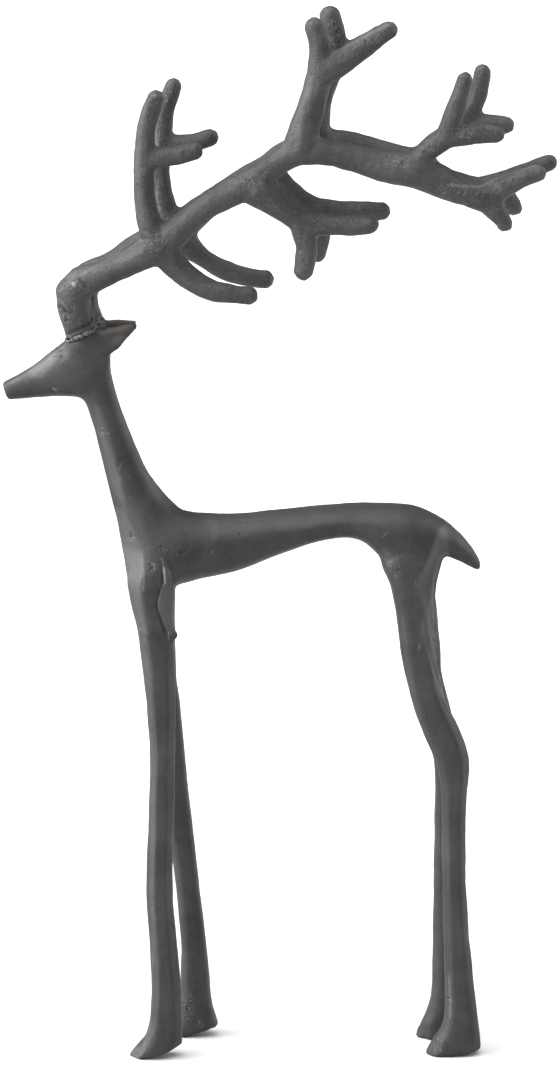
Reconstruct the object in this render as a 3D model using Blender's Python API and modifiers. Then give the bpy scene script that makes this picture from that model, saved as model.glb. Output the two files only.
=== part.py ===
import math

import bmesh
import bpy
from mathutils import Matrix, Vector

# A slender stag cast in aluminium, with its antlers cast apart and joined on the crown.
# It faces -X, its near flank is -Y, and it stands on its hooves at z = 0.

# Driving sizes in metres
FIGURE_HEIGHT = 0.522  # floor to the highest antler tip
FRONT_HOOF_DISTANCE = 0.035  # between the middles of the front hooves, across the body
REAR_HOOF_DISTANCE = 0.0275  # between the middles of the rear hooves, across the body
SHOULDER_WIDTH = 0.024  # between the tops of the front legs
HIP_WIDTH = 0.022  # between the tops of the rear legs
ANTLER_DISTANCE = 0.037  # between the two antlers' middle planes
ANTLER_SETBACK = 0.0072  # how far the right antler stands behind the left one
TRUNK_WIDTH = 0.034  # across the ribs
EAR_DISTANCE = 0.018  # between the roots of the ears
SEAM_GAP = 0.0003  # between the crown and the antlers' stem
HEEL_LIFT_FRONT = math.radians(16.5)  # slope of the front soles behind the toe
HEEL_LIFT_REAR = math.radians(9.0)  # slope of the rear soles behind the toe
TOE_PATCH_FRONT = 0.0075  # length of the flat under each front toe
TOE_PATCH_REAR = 0.0125  # length of the flat under each rear toe
BODY_GRAIN = 0.0016  # cell of the remesh that fuses the body
ANTLER_GRAIN = 0.0014  # cell of the remesh that fuses the antlers

# The figure is drawn at this height in drawing units, and every landmark below is in those units
DRAWN_HEIGHT = 522.0
UNIT = FIGURE_HEIGHT / DRAWN_HEIGHT

SIDES = 20  # points round a section
RINGS_PER_SPAN = 5  # sections from one station to the next
BODY_SHARE = 0.07  # faces that are kept after the body's remesh
ANTLER_SHARE = 0.058  # faces that are kept after the antlers' remesh
DOME_RINGS = 5  # sections in the round end of a tine
TIP_REACH = 0.6  # how far a tine's round end reaches past its last point, which softening takes back
SOLE_DEPTH = 6.0  # how far the legs are drawn below the floor before the soles are cut
SOLE_FLARE = 1.0  # how much further forward the toes reach there

# Squareness of a section: 2 is an ellipse, more is boxier
ROUND = 2.0
SOFT_SQUARE = 2.4
FACETED = 2.8

# Stations of the head: x, top z and bottom z, half width
HEAD = [
    (-137.0, 338.0, 329.4, 4.2),
    (-128.0, 342.6, 330.2, 5.6),
    (-118.0, 348.8, 331.2, 7.4),
    (-108.0, 356.9, 331.6, 9.2),
    (-98.0, 364.0, 331.4, 10.4),
    (-89.0, 366.4, 331.0, 9.8),
    (-82.5, 363.0, 345.0, 6.4),
]

# Stations of the neck: z, front x and back x, half width
NECK = [
    (350.0, -98.0, -83.8, 8.6),
    (334.0, -96.6, -79.8, 8.2),
    (326.0, -93.8, -77.6, 8.2),
    (313.0, -90.1, -72.6, 8.6),
    (295.0, -86.1, -65.2, 9.6),
    (282.0, -83.0, -55.8, 11.4),
    (268.0, -79.8, -44.0, 14.2),
    (250.0, -76.6, -46.0, 14.4),
    (236.0, -74.4, -55.0, 9.0),
]

# Stations of the trunk: x, top z and bottom z, share of the trunk's half width
TRUNK = [
    (-75.8, 264.0, 244.0, 0.5),
    (-66.0, 270.0, 235.0, 0.96),
    (-53.0, 274.5, 237.2, 1.12),
    (-40.0, 272.7, 240.4, 1.08),
    (-20.0, 272.4, 245.3, 1.02),
    (0.0, 274.2, 253.2, 0.96),
    (20.0, 276.2, 260.2, 0.92),
    (38.0, 277.6, 261.0, 0.94),
    (52.0, 277.6, 250.0, 1.04),
    (66.0, 276.0, 247.0, 1.08),
    (79.0, 270.4, 252.4, 0.88),
    (88.0, 263.2, 249.3, 0.56),
    (94.0, 256.2, 245.8, 0.34),
    (98.8, 248.4, 243.4, 0.16),
]

# Stations of each leg: z, front x and back x, half width, share of the way across from its top to its hoof
FRONT_LEG_NEAR = [
    (262.0, -66.0, -54.0, 3.0, -0.2),
    (246.0, -74.6, -51.0, 8.0, 0.03),
    (232.0, -73.4, -51.4, 8.4, 0.15),
    (218.0, -70.2, -51.9, 7.6, 0.3),
    (204.0, -68.2, -51.6, 6.9, 0.42),
    (186.0, -66.3, -51.0, 6.5, 0.55),
    (160.0, -64.4, -51.3, 6.2, 0.66),
    (135.0, -64.5, -51.8, 6.2, 0.75),
    (108.0, -65.6, -52.6, 6.3, 0.84),
    (80.0, -66.1, -52.6, 6.4, 0.9),
    (60.0, -64.7, -51.0, 6.6, 0.94),
    (43.0, -64.0, -49.4, 6.9, 0.97),
    (28.0, -63.9, -48.6, 7.2, 0.99),
    (17.0, -64.9, -48.4, 7.6, 1.0),
    (9.0, -67.8, -48.4, 8.0, 1.0),
    (1.0, -75.0, -48.4, 7.8, 1.0),
]
FRONT_LEG_FAR = [
    (262.0, -66.0, -54.0, 3.0, -0.2),
    (246.0, -72.6, -51.0, 8.0, 0.03),
    (232.0, -71.0, -51.4, 8.4, 0.15),
    (208.0, -66.5, -51.8, 7.0, 0.42),
    (186.0, -64.6, -50.9, 6.6, 0.55),
    (171.0, -62.8, -49.3, 6.3, 0.62),
    (149.0, -60.0, -47.2, 6.2, 0.7),
    (122.0, -57.8, -44.9, 6.2, 0.8),
    (109.0, -56.2, -43.3, 6.3, 0.84),
    (76.0, -52.3, -40.0, 6.4, 0.9),
    (50.0, -49.8, -36.8, 6.7, 0.95),
    (31.0, -49.9, -35.2, 7.2, 0.99),
    (19.0, -50.3, -34.3, 7.6, 1.0),
    (10.0, -51.8, -32.2, 8.0, 1.0),
    (1.0, -55.8, -28.8, 7.8, 1.0),
]
REAR_LEG_NEAR = [
    (268.0, 58.0, 76.0, 3.0, -0.2),
    (254.0, 49.0, 79.6, 7.8, 0.03),
    (240.0, 53.6, 76.6, 8.6, 0.15),
    (226.0, 56.6, 76.4, 8.2, 0.27),
    (205.0, 59.0, 77.6, 7.4, 0.42),
    (184.0, 63.9, 80.6, 7.0, 0.55),
    (170.0, 68.2, 87.0, 6.8, 0.62),
    (158.0, 73.2, 91.9, 6.7, 0.68),
    (148.0, 77.4, 93.6, 6.6, 0.72),
    (134.0, 79.4, 92.4, 6.4, 0.78),
    (116.0, 79.8, 91.8, 6.3, 0.84),
    (90.0, 80.2, 92.2, 6.3, 0.9),
    (66.0, 80.8, 93.6, 6.5, 0.94),
    (42.0, 81.6, 95.9, 6.8, 0.97),
    (23.0, 81.8, 98.2, 7.2, 1.0),
    (14.0, 80.2, 99.2, 7.4, 1.0),
    (7.0, 75.6, 99.8, 7.6, 1.0),
    (0.6, 72.0, 100.2, 7.4, 1.0),
]
REAR_LEG_FAR = [
    (268.0, 58.0, 76.0, 3.0, -0.2),
    (254.0, 49.6, 79.4, 7.8, 0.03),
    (240.0, 53.6, 76.4, 8.6, 0.15),
    (226.0, 56.8, 77.2, 8.2, 0.27),
    (205.0, 59.8, 79.2, 7.4, 0.42),
    (188.0, 63.0, 80.4, 7.0, 0.52),
    (172.0, 67.4, 84.4, 6.8, 0.62),
    (158.0, 71.6, 87.4, 6.7, 0.68),
    (146.0, 75.9, 89.8, 6.6, 0.72),
    (132.0, 77.0, 89.4, 6.4, 0.78),
    (112.0, 76.7, 88.6, 6.3, 0.84),
    (80.0, 76.6, 89.0, 6.3, 0.91),
    (40.0, 76.2, 90.4, 6.8, 0.97),
    (22.0, 75.5, 91.6, 7.2, 1.0),
    (12.0, 72.7, 92.4, 7.4, 1.0),
    (6.0, 69.8, 92.8, 7.6, 1.0),
    (0.6, 67.7, 93.2, 7.4, 1.0),
]

# An ear, from its root to its tip: x, z, half height, half thickness
EAR = [
    (-91.0, 358.4, 6.0, 3.2),
    (-84.0, 361.0, 7.2, 3.2),
    (-77.4, 364.2, 5.0, 2.6),
    (-69.6, 367.4, 1.3, 1.3),
]

# Landmarks of the left antler in its own plane: x, z
BURR = (-97.0, 366.0)
ELBOW = (-96.6, 389.8)
FIRST_FORK = (-58.0, 409.8)
HANGING_FORK = (-11.2, 438.4)
HANGING_SPLIT = (9.4, 421.8)
HIGH_FORK = (9.0, 456.4)
CROWN_FORK = (19.2, 494.0)
BACK_FORK = (66.4, 446.6)
BACK_SIDE = (78.4, 461.8)
LAST_FORK = (97.8, 433.8)

# Each stretch of the left antler: the points x, z, half thickness that it runs through
STRETCHES = {
    "stem": [
        (*BURR, 7.9),
        (-99.5, 376.0, 8.1),
        (-100.1, 384.0, 8.6),
        (*ELBOW, 8.4),
        (-86.6, 394.0, 6.9),
        (-74.0, 400.6, 6.4),
        (*FIRST_FORK, 8.8),
    ],
    "brow_tine": [
        (*FIRST_FORK, 7.4),
        (-62.8, 420.0, 5.9),
        (-65.4, 437.0, 5.3),
        (-65.4, 452.0, 4.8),
        (-63.8, 469.0, 4.7),
        (-60.0, 480.0, 4.5),
        (-58.6, 485.6, 3.4),
    ],
    "brow_side": [
        (-65.4, 452.4, 4.4),
        (-52.0, 453.4, 4.6),
        (-42.0, 456.0, 4.5),
        (-37.2, 457.2, 3.6),
    ],
    "low_tine": [
        (*FIRST_FORK, 7.8),
        (-47.4, 397.0, 6.2),
        (-35.4, 389.2, 5.5),
        (-23.4, 386.0, 4.9),
        (-10.6, 385.2, 4.0),
    ],
    "beam": [
        (*FIRST_FORK, 8.2),
        (-38.8, 426.2, 6.4),
        (-26.4, 434.9, 6.9),
        (-12.0, 441.9, 7.6),
        (-3.0, 449.1, 6.1),
        (*HIGH_FORK, 7.4),
    ],
    "hanging": [
        (*HANGING_FORK, 9.5),
        (0.6, 428.5, 6.2),
        (*HANGING_SPLIT, 5.4),
    ],
    "hanging_back": [
        (*HANGING_SPLIT, 5.6),
        (24.0, 420.0, 5.2),
        (41.0, 420.2, 5.0),
        (47.6, 420.6, 4.0),
    ],
    "hanging_down": [
        (*HANGING_SPLIT, 5.4),
        (12.6, 410.0, 5.2),
        (11.8, 399.6, 4.9),
        (10.6, 393.6, 3.9),
    ],
    "high": [
        (*HIGH_FORK, 8.2),
        (15.2, 478.0, 6.6),
        (*CROWN_FORK, 6.3),
    ],
    "high_front": [
        (*CROWN_FORK, 6.2),
        (18.8, 507.0, 5.5),
        (16.2, 516.6, 5.2),
        (15.6, 520.8, 4.0),
    ],
    "high_back": [
        (*CROWN_FORK, 7.2),
        (31.6, 500.7, 6.4),
        (42.6, 508.6, 5.5),
        (50.4, 513.8, 4.9),
        (56.0, 516.4, 3.8),
    ],
    "rear_beam": [
        (*HIGH_FORK, 7.4),
        (24.0, 455.4, 6.4),
        (38.4, 451.7, 6.8),
        (52.0, 447.7, 7.9),
        (*BACK_FORK, 8.9),
    ],
    "back": [
        (*BACK_FORK, 7.6),
        (70.2, 455.8, 5.0),
        (*BACK_SIDE, 5.4),
        (84.4, 477.6, 4.5),
        (87.8, 488.2, 4.1),
        (89.2, 493.8, 3.2),
    ],
    "back_side": [
        (*BACK_SIDE, 5.2),
        (92.4, 464.2, 5.1),
        (104.0, 464.2, 4.8),
        (108.0, 464.2, 3.9),
    ],
    "last": [
        (*BACK_FORK, 8.6),
        (75.2, 441.2, 7.7),
        (82.4, 438.0, 6.9),
        (89.8, 436.2, 6.9),
        (*LAST_FORK, 7.4),
    ],
    "last_up": [
        (*LAST_FORK, 6.6),
        (113.6, 441.4, 5.0),
        (124.0, 445.4, 4.5),
        (128.2, 446.0, 3.6),
    ],
    "last_down": [
        (*LAST_FORK, 6.2),
        (106.4, 424.2, 4.9),
        (109.8, 417.2, 4.1),
    ],
}

# The right antler repeats the left one, but for these landmarks and stretches
RIGHT_HANGING_FORK = (-12.0, 439.6)
RIGHT_HANGING_SPLIT = (9.4, 423.4)
RIGHT_CROWN_FORK = (17.6, 494.0)
RIGHT_BACK_FORK = (60.4, 445.4)
RIGHT_BACK_SIDE = (79.0, 464.0)
RIGHT_LAST_FORK = (97.2, 434.8)
RIGHT_STRETCHES = {
    **STRETCHES,
    "stem": [
        *STRETCHES["stem"][:3],
        (-96.4, 389.2, 8.1),
        (-87.0, 394.4, 7.1),
        (-74.0, 402.4, 7.6),
        (*FIRST_FORK, 8.8),
    ],
    "brow_tine": [
        (*FIRST_FORK, 7.4),
        (-62.6, 420.0, 5.9),
        (-65.2, 437.0, 5.0),
        (-65.0, 452.0, 4.7),
        (-63.2, 469.0, 4.5),
        (-59.0, 480.0, 4.5),
        (-57.6, 485.2, 3.4),
    ],
    "low_tine": [
        (*FIRST_FORK, 8.0),
        (-47.4, 398.8, 5.3),
        (-35.4, 391.0, 4.9),
        (-23.4, 387.2, 4.8),
        (-10.4, 386.2, 4.0),
    ],
    "beam": [
        (*FIRST_FORK, 8.2),
        (-38.8, 426.0, 6.2),
        (-26.4, 434.2, 6.2),
        (-12.6, 441.8, 6.8),
        (-5.4, 448.2, 6.2),
        (*HIGH_FORK, 7.3),
    ],
    "hanging": [
        (*RIGHT_HANGING_FORK, 5.6),
        (0.0, 429.3, 5.1),
        (*RIGHT_HANGING_SPLIT, 5.9),
    ],
    "hanging_back": [
        (*RIGHT_HANGING_SPLIT, 5.9),
        (24.0, 421.9, 5.2),
        (41.0, 422.0, 5.0),
        (46.8, 422.2, 4.0),
    ],
    "hanging_down": [
        (*RIGHT_HANGING_SPLIT, 5.0),
        (12.4, 412.0, 5.2),
        (11.4, 402.4, 5.0),
        (10.0, 396.8, 3.9),
    ],
    "high": [
        (*HIGH_FORK, 8.2),
        (11.4, 476.0, 6.5),
        (*RIGHT_CROWN_FORK, 6.6),
    ],
    "high_front": [
        (*RIGHT_CROWN_FORK, 6.6),
        (18.4, 508.6, 6.2),
        (17.0, 518.2, 5.3),
        (16.2, 522.4, 4.0),
    ],
    "high_back": [
        (*RIGHT_CROWN_FORK, 7.0),
        (28.0, 500.2, 6.0),
        (36.0, 505.0, 5.4),
        (44.6, 510.8, 4.5),
    ],
    "rear_beam": [
        (*HIGH_FORK, 7.4),
        (24.0, 455.4, 6.6),
        (38.4, 452.0, 6.5),
        (50.0, 448.8, 6.8),
        (*RIGHT_BACK_FORK, 7.2),
    ],
    "back": [
        (*RIGHT_BACK_FORK, 6.6),
        (65.0, 453.2, 5.4),
        (73.0, 459.0, 5.2),
        (*RIGHT_BACK_SIDE, 5.4),
        (87.0, 475.0, 4.9),
        (90.3, 485.6, 4.7),
        (91.4, 494.3, 4.0),
    ],
    "back_side": [
        (*RIGHT_BACK_SIDE, 5.2),
        (92.4, 465.0, 5.0),
        (102.8, 464.8, 4.8),
        (107.0, 464.6, 3.9),
    ],
    "last": [
        (*RIGHT_BACK_FORK, 7.2),
        (70.0, 439.4, 6.0),
        (79.4, 435.5, 6.1),
        (89.6, 433.7, 5.9),
        (*RIGHT_LAST_FORK, 6.6),
    ],
    "last_up": [
        (*RIGHT_LAST_FORK, 6.2),
        (113.0, 441.6, 4.8),
        (123.0, 445.8, 4.5),
        (127.2, 446.6, 3.7),
    ],
    "last_down": [
        (*RIGHT_LAST_FORK, 5.8),
        (105.2, 426.6, 4.8),
        (108.2, 420.4, 4.1),
    ],
}

# Two cutting planes, each through two points x, z: the flat end of the muzzle and the seam on the crown
MUZZLE_TOP = (-135.5, 338.4)
MUZZLE_BOTTOM = (-131.6, 328.0)
SEAM_FRONT = (-104.2, 361.2)
SEAM_BACK = (-83.7, 370.4)
CUTTER_SIZE = 52.0  # side of the blocks that cut along these planes
STEM_ROOT_DEPTH = 10.0  # how far the stems are drawn on below their burrs, to be cut at the seam
STEM_ROOT_SHIFT = 1.5  # how far back their ends lie there
STEM_OFFSET = 6.6  # from the middle plane to the middle of each antler's stem
STEM_SETBACK = 0.48  # share of the setback that the right stem already has
RIGHT_DROOP = 2.2  # how much lower the rear half of the right antler runs
DROOP_START = -14.0  # x where the droop sets in
DROOP_RUN = 26.0  # length over which it sets in


def drawn(metres):
    return metres / UNIT


def clear_scene():
    for obj in list(bpy.data.objects):
        bpy.data.objects.remove(obj, do_unlink=True)


def collection(name):
    made = bpy.data.collections.new(name)
    bpy.context.scene.collection.children.link(made)
    return made


def cast_metal(name, colour, roughness):
    material = bpy.data.materials.new(name)
    material.use_nodes = True
    shader = material.node_tree.nodes["Principled BSDF"]
    shader.inputs["Base Color"].default_value = (*colour, 1.0)
    shader.inputs["Metallic"].default_value = 0.9
    shader.inputs["Roughness"].default_value = roughness
    return material


# A Catmull-Rom value between b and c
def between(a, b, c, d, t):
    return 0.5 * (2 * b + (c - a) * t + (2 * a - 5 * b + 4 * c - d) * t * t + (3 * b - a - 3 * c + d) * t**3)


# Stations are lists of numbers; this adds smooth ones between them
def smoothed(stations):
    ends = [stations[0], *stations, stations[-1]]
    fine = []
    for i in range(1, len(ends) - 2):
        for step in range(RINGS_PER_SPAN):
            t = step / RINGS_PER_SPAN
            fine.append([between(*values, t) for values in zip(*ends[i - 1 : i + 3])])
    fine.append(list(stations[-1]))
    return fine


# Ends a tine's run of x, z, half thickness with a dome as wide as its last station but one
def domed(fine):
    radius = fine[-1 - RINGS_PER_SPAN][-1]
    body = [ring for ring in fine if math.dist(ring[:2], fine[-1][:2]) > radius - TIP_REACH]
    tip = Vector(fine[-1][:2])
    way = (tip - Vector(body[-1][:2])).normalized()
    tip += way * TIP_REACH
    dome = []
    for step in range(DOME_RINGS):
        angle = math.pi / 2 * (step + 0.5) / DOME_RINGS
        dome.append([*(tip - way * radius * (1 - math.sin(angle))), radius * math.cos(angle)])
    return body + dome


# A closed shell through rings, each a centre, an in-plane half axis and a half width along Y
class Shell:
    def __init__(self):
        self.points = []
        self.faces = []

    def loft(self, rings, square):
        first = len(self.points)
        for centre, half, width in rings:
            for i in range(SIDES):
                angle = 2 * math.pi * i / SIDES
                c, s = math.cos(angle), math.sin(angle)
                along = math.copysign(abs(c) ** (2 / square), c)
                across = math.copysign(abs(s) ** (2 / square), s)
                self.points.append((centre + half * along + Vector((0, width * across, 0))) * UNIT)
        for ring in range(len(rings) - 1):
            start = first + ring * SIDES
            for i in range(SIDES):
                j = (i + 1) % SIDES
                self.faces.append((start + j, start + i, start + SIDES + i, start + SIDES + j))
        last = first + (len(rings) - 1) * SIDES
        self.faces.append(tuple(range(first, first + SIDES)))
        self.faces.append(tuple(reversed(range(last, last + SIDES))))

    # Stations across the body's length: upright rings
    def upright(self, stations, square, width_scale=1.0):
        rings = []
        for x, top, bottom, width in smoothed(stations):
            centre = Vector((x, 0, (top + bottom) / 2))
            rings.append((centre, Vector((0, 0, (top - bottom) / 2)), width * width_scale))
        self.loft(rings, square)

    # Stations down a limb: level rings
    def level(self, stations, square, top_y=0.0, foot_y=0.0):
        rings = []
        for z, front, back, width, share in smoothed(stations):
            centre = Vector(((front + back) / 2, top_y + (foot_y - top_y) * share, z))
            rings.append((centre, Vector(((back - front) / 2, 0, 0)), width))
        self.loft(rings, square)

    # Points along a stretch: rings square to its path, moved by what place gives for each point
    def tube(self, points, square, place, tine=False):
        fine = domed(smoothed(points)) if tine else smoothed(points)
        rings = []
        for i, (x, z, thick, *_) in enumerate(fine):
            before, after = fine[max(i - 1, 0)], fine[min(i + 1, len(fine) - 1)]
            run = Vector((after[0] - before[0], 0, after[1] - before[1])).normalized()
            half = Vector((-run.z, 0, run.x)) * thick
            width = fine[i][-1]
            rings.append((Vector((x, 0, z)) + place(x, z), half, width))
        self.loft(rings, square)

    def build(self, name, into, material):
        mesh = bpy.data.meshes.new(name)
        mesh.from_pydata(self.points, [], self.faces)
        mesh.materials.append(material)
        obj = bpy.data.objects.new(name, mesh)
        into.objects.link(obj)
        return obj


# Rises smoothly from 0 to 1
def eased(t):
    t = min(max(t, 0.0), 1.0)
    return t * t * (3 - 2 * t)


# 0 at the burr, 1 from the first fork on: how far the antler has left the middle plane
def share_out(x, z):
    climb = x - BURR[0] + z - BURR[1]
    return eased(climb / (FIRST_FORK[0] - BURR[0] + FIRST_FORK[1] - BURR[1]))


def antler_y(x, z):
    return STEM_OFFSET + (drawn(ANTLER_DISTANCE) / 2 - STEM_OFFSET) * share_out(x, z)


def left_antler(x, z):
    return Vector((0, -antler_y(x, z), 0))


def right_antler(x, z):
    back = drawn(ANTLER_SETBACK) * (STEM_SETBACK + (1 - STEM_SETBACK) * share_out(x, z))
    return Vector((back, antler_y(x, z), -RIGHT_DROOP * eased((x - DROOP_START) / DROOP_RUN)))


def with_sole(stations):
    z, front, back, width, share = stations[-1]
    return [*stations, (z - SOLE_DEPTH, front - SOLE_FLARE, back, width, share)]


# The stem's foot, drawn on below the burr so that the seam's plane can cut it
def stem_root():
    x, z, thick = STRETCHES["stem"][0]
    return (x + STEM_ROOT_SHIFT, z - STEM_ROOT_DEPTH, thick)


def body_shell():
    shell = Shell()
    shell.upright(HEAD, SOFT_SQUARE)
    shell.level([(*station, 0.0) for station in NECK], SOFT_SQUARE)
    shell.upright(TRUNK, SOFT_SQUARE, width_scale=drawn(TRUNK_WIDTH) / 2)
    shoulder, front = drawn(SHOULDER_WIDTH) / 2, drawn(FRONT_HOOF_DISTANCE) / 2
    hip, rear = drawn(HIP_WIDTH) / 2, drawn(REAR_HOOF_DISTANCE) / 2
    shell.level(with_sole(FRONT_LEG_NEAR), FACETED, -shoulder, -front)
    shell.level(with_sole(FRONT_LEG_FAR), FACETED, shoulder, front)
    shell.level(with_sole(REAR_LEG_NEAR), FACETED, -hip, -rear)
    shell.level(with_sole(REAR_LEG_FAR), FACETED, hip, rear)
    for side, antler in ((-1, left_antler), (1, right_antler)):
        ear = Vector((0, side * drawn(EAR_DISTANCE) / 2, 0))
        shell.tube(EAR, ROUND, lambda x, z, ear=ear: ear)
        shell.tube([stem_root(), *STRETCHES["stem"][:3]], ROUND, antler)
    return shell


def antler_shell():
    shell = Shell()
    for antler, stretches in ((left_antler, STRETCHES), (right_antler, RIGHT_STRETCHES)):
        forks = {points[0][:2] for points in stretches.values()}
        for name, points in stretches.items():
            run = [stem_root(), *points] if name == "stem" else points
            shell.tube(run, ROUND, antler, tine=points[-1][:2] not in forks)
    return shell


def box(name, into, size, place, tilt):
    mesh = bpy.data.meshes.new(name)
    form = bmesh.new()
    bmesh.ops.create_cube(form, size=UNIT, matrix=Matrix.Diagonal((*size, 1.0)))
    form.to_mesh(mesh)
    form.free()
    obj = bpy.data.objects.new(name, mesh)
    obj.location = Vector(place) * UNIT
    obj.rotation_euler.y = tilt
    obj.display_type = "WIRE"
    obj.hide_render = True
    into.objects.link(obj)
    return obj


# A block whose upper face starts behind the toe's flat and rises towards the heel
def sole_block(name, into, stations, y, patch, lift):
    front, back, width = stations[-1][1:4]
    length = back - front + 2 * SOLE_DEPTH
    start = Vector((front + patch, y, 0.0))
    along = Vector((math.cos(lift), 0, math.sin(lift)))
    down = Vector((math.sin(lift), 0, -math.cos(lift)))
    place = start + along * length / 2 + down * length / 2
    return box(name, into, (length, 2 * width + SOLE_DEPTH / 2, length), place, -lift)


# A block on one side of the plane through two points x, z: side 1 is on the left of the way from first to second
def plane_block(name, into, first, second, side, overlap=0.0):
    first, second = Vector((first[0], 0, first[1])), Vector((second[0], 0, second[1]))
    run = (second - first).normalized()
    normal = Vector((-run.z, 0, run.x)) * side
    place = (first + second) / 2 + normal * (CUTTER_SIZE / 2 - overlap)
    return box(name, into, (CUTTER_SIZE, CUTTER_SIZE, CUTTER_SIZE), place, -math.atan2(run.z, run.x))


def fuse(obj, grain, share):
    remesh = obj.modifiers.new("fuse", "REMESH")
    remesh.mode = "VOXEL"
    remesh.voxel_size = grain
    smooth = obj.modifiers.new("soften", "SMOOTH")
    smooth.factor = 0.5
    smooth.iterations = 3
    thin = obj.modifiers.new("thin", "DECIMATE")
    thin.ratio = share


# The remeshed castings are closed, and EXACT leaves a long cut open where its plane runs along their facets
def cut(obj, cutter):
    boolean = obj.modifiers.new(cutter.name, "BOOLEAN")
    boolean.operation = "DIFFERENCE"
    boolean.solver = "MANIFOLD"
    boolean.object = cutter


# Moves everything so that the middle of the figure's box stands on the origin
def centre(figures, everything):
    bpy.context.view_layer.update()
    graph = bpy.context.evaluated_depsgraph_get()
    corners = []
    for obj in figures:
        mesh = obj.evaluated_get(graph).to_mesh()
        corners += [obj.matrix_world @ vertex.co for vertex in mesh.vertices]
        obj.evaluated_get(graph).to_mesh_clear()
    middle = [(min(values) + max(values)) / 2 for values in zip(*corners)]
    for obj in everything:
        obj.location.x -= middle[0]
        obj.location.y -= middle[1]


def main():
    clear_scene()
    parts = collection("aluminium_stag_figure")
    cutters = collection("cutters")

    body = body_shell().build("stag_body", parts, cast_metal("cast_body", (0.075, 0.075, 0.08), 0.45))
    fuse(body, BODY_GRAIN, BODY_SHARE)
    floor_size = (drawn(FIGURE_HEIGHT), drawn(FIGURE_HEIGHT) / 2, 4 * SOLE_DEPTH)
    blocks = [box("floor", cutters, floor_size, (0.0, 0.0, -2 * SOLE_DEPTH), 0.0)]
    front, rear = drawn(FRONT_HOOF_DISTANCE) / 2, drawn(REAR_HOOF_DISTANCE) / 2
    soles = (
        ("sole_front_near", FRONT_LEG_NEAR, -front, TOE_PATCH_FRONT, HEEL_LIFT_FRONT),
        ("sole_front_far", FRONT_LEG_FAR, front, TOE_PATCH_FRONT, HEEL_LIFT_FRONT),
        ("sole_rear_near", REAR_LEG_NEAR, -rear, TOE_PATCH_REAR, HEEL_LIFT_REAR),
        ("sole_rear_far", REAR_LEG_FAR, rear, TOE_PATCH_REAR, HEEL_LIFT_REAR),
    )
    for name, stations, y, patch, lift in soles:
        blocks.append(sole_block(name, cutters, stations, y, drawn(patch), lift))
    half_gap = drawn(SEAM_GAP) / 2
    blocks.append(plane_block("before_muzzle", cutters, MUZZLE_TOP, MUZZLE_BOTTOM, -1))
    blocks.append(plane_block("above_seam", cutters, SEAM_FRONT, SEAM_BACK, 1, half_gap))
    for block in blocks:
        cut(body, block)

    antlers = antler_shell().build("antler_pair", parts, cast_metal("cast_antlers", (0.065, 0.065, 0.07), 0.5))
    fuse(antlers, ANTLER_GRAIN, ANTLER_SHARE)
    below = plane_block("below_seam", cutters, SEAM_FRONT, SEAM_BACK, -1, half_gap)
    cut(antlers, below)

    centre([body, antlers], [body, antlers, below, *blocks])


main()
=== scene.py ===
import math
import random

import bmesh
import bpy
import numpy as np
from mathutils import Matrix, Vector, noise
from mathutils.bvhtree import BVHTree


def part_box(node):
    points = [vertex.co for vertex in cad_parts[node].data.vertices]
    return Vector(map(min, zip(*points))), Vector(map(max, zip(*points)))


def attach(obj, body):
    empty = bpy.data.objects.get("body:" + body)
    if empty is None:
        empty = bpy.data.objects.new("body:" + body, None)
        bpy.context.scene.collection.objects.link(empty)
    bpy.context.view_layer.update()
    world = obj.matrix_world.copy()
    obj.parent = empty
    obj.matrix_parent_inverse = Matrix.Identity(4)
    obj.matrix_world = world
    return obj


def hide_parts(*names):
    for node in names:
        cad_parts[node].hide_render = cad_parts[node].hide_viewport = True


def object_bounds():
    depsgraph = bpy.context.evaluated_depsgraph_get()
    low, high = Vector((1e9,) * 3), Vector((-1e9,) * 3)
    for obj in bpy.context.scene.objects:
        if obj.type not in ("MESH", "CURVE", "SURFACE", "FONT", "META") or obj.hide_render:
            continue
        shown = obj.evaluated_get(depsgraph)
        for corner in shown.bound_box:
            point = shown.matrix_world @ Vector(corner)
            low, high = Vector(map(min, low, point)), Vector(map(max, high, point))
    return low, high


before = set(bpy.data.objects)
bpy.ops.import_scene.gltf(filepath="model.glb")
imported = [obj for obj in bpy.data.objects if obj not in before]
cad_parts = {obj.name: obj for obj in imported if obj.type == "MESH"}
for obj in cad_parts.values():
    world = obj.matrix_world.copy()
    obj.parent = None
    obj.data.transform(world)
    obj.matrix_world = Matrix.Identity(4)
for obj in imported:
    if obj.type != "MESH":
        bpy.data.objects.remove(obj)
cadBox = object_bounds()
mm = 0.001


# Camera, and rays through the photograph's pixels

view = {
    "aim": Vector((0.0004, 0.0003, 0.2631)),  # what stands in the middle of the picture
    "distance": 3.0,
    "tilt": math.radians(13.5),  # how far the camera looks down
    "picture": (560, 1066),
    "focalPixels": 6120,
    "sensor": 36.0,
}


def cameraPlace():
    back = Vector((0, -math.cos(view["tilt"]), math.sin(view["tilt"])))
    return view["aim"] + back * view["distance"]


def setCamera():
    lens = bpy.data.cameras.new("photoCamera")
    lens.sensor_fit = "VERTICAL"
    lens.sensor_height = view["sensor"]
    lens.lens = view["focalPixels"] / view["picture"][1] * view["sensor"]
    camera = bpy.data.objects.new("photoCamera", lens)
    camera.location = cameraPlace()
    camera.rotation_euler = (math.pi / 2 - view["tilt"], 0, 0)
    bpy.context.scene.collection.objects.link(camera)
    bpy.context.scene.camera = camera


def cameraAxes():
    forward = Vector((0, math.cos(view["tilt"]), -math.sin(view["tilt"])))
    return forward, Vector((0, math.sin(view["tilt"]), math.cos(view["tilt"])))


def photoRay(x, y):
    forward, up = cameraAxes()
    width, height = view["picture"]
    across = Vector((1, 0, 0)) * (x - width / 2)
    return (forward * view["focalPixels"] + across + up * (height / 2 - y)).normalized()


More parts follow.
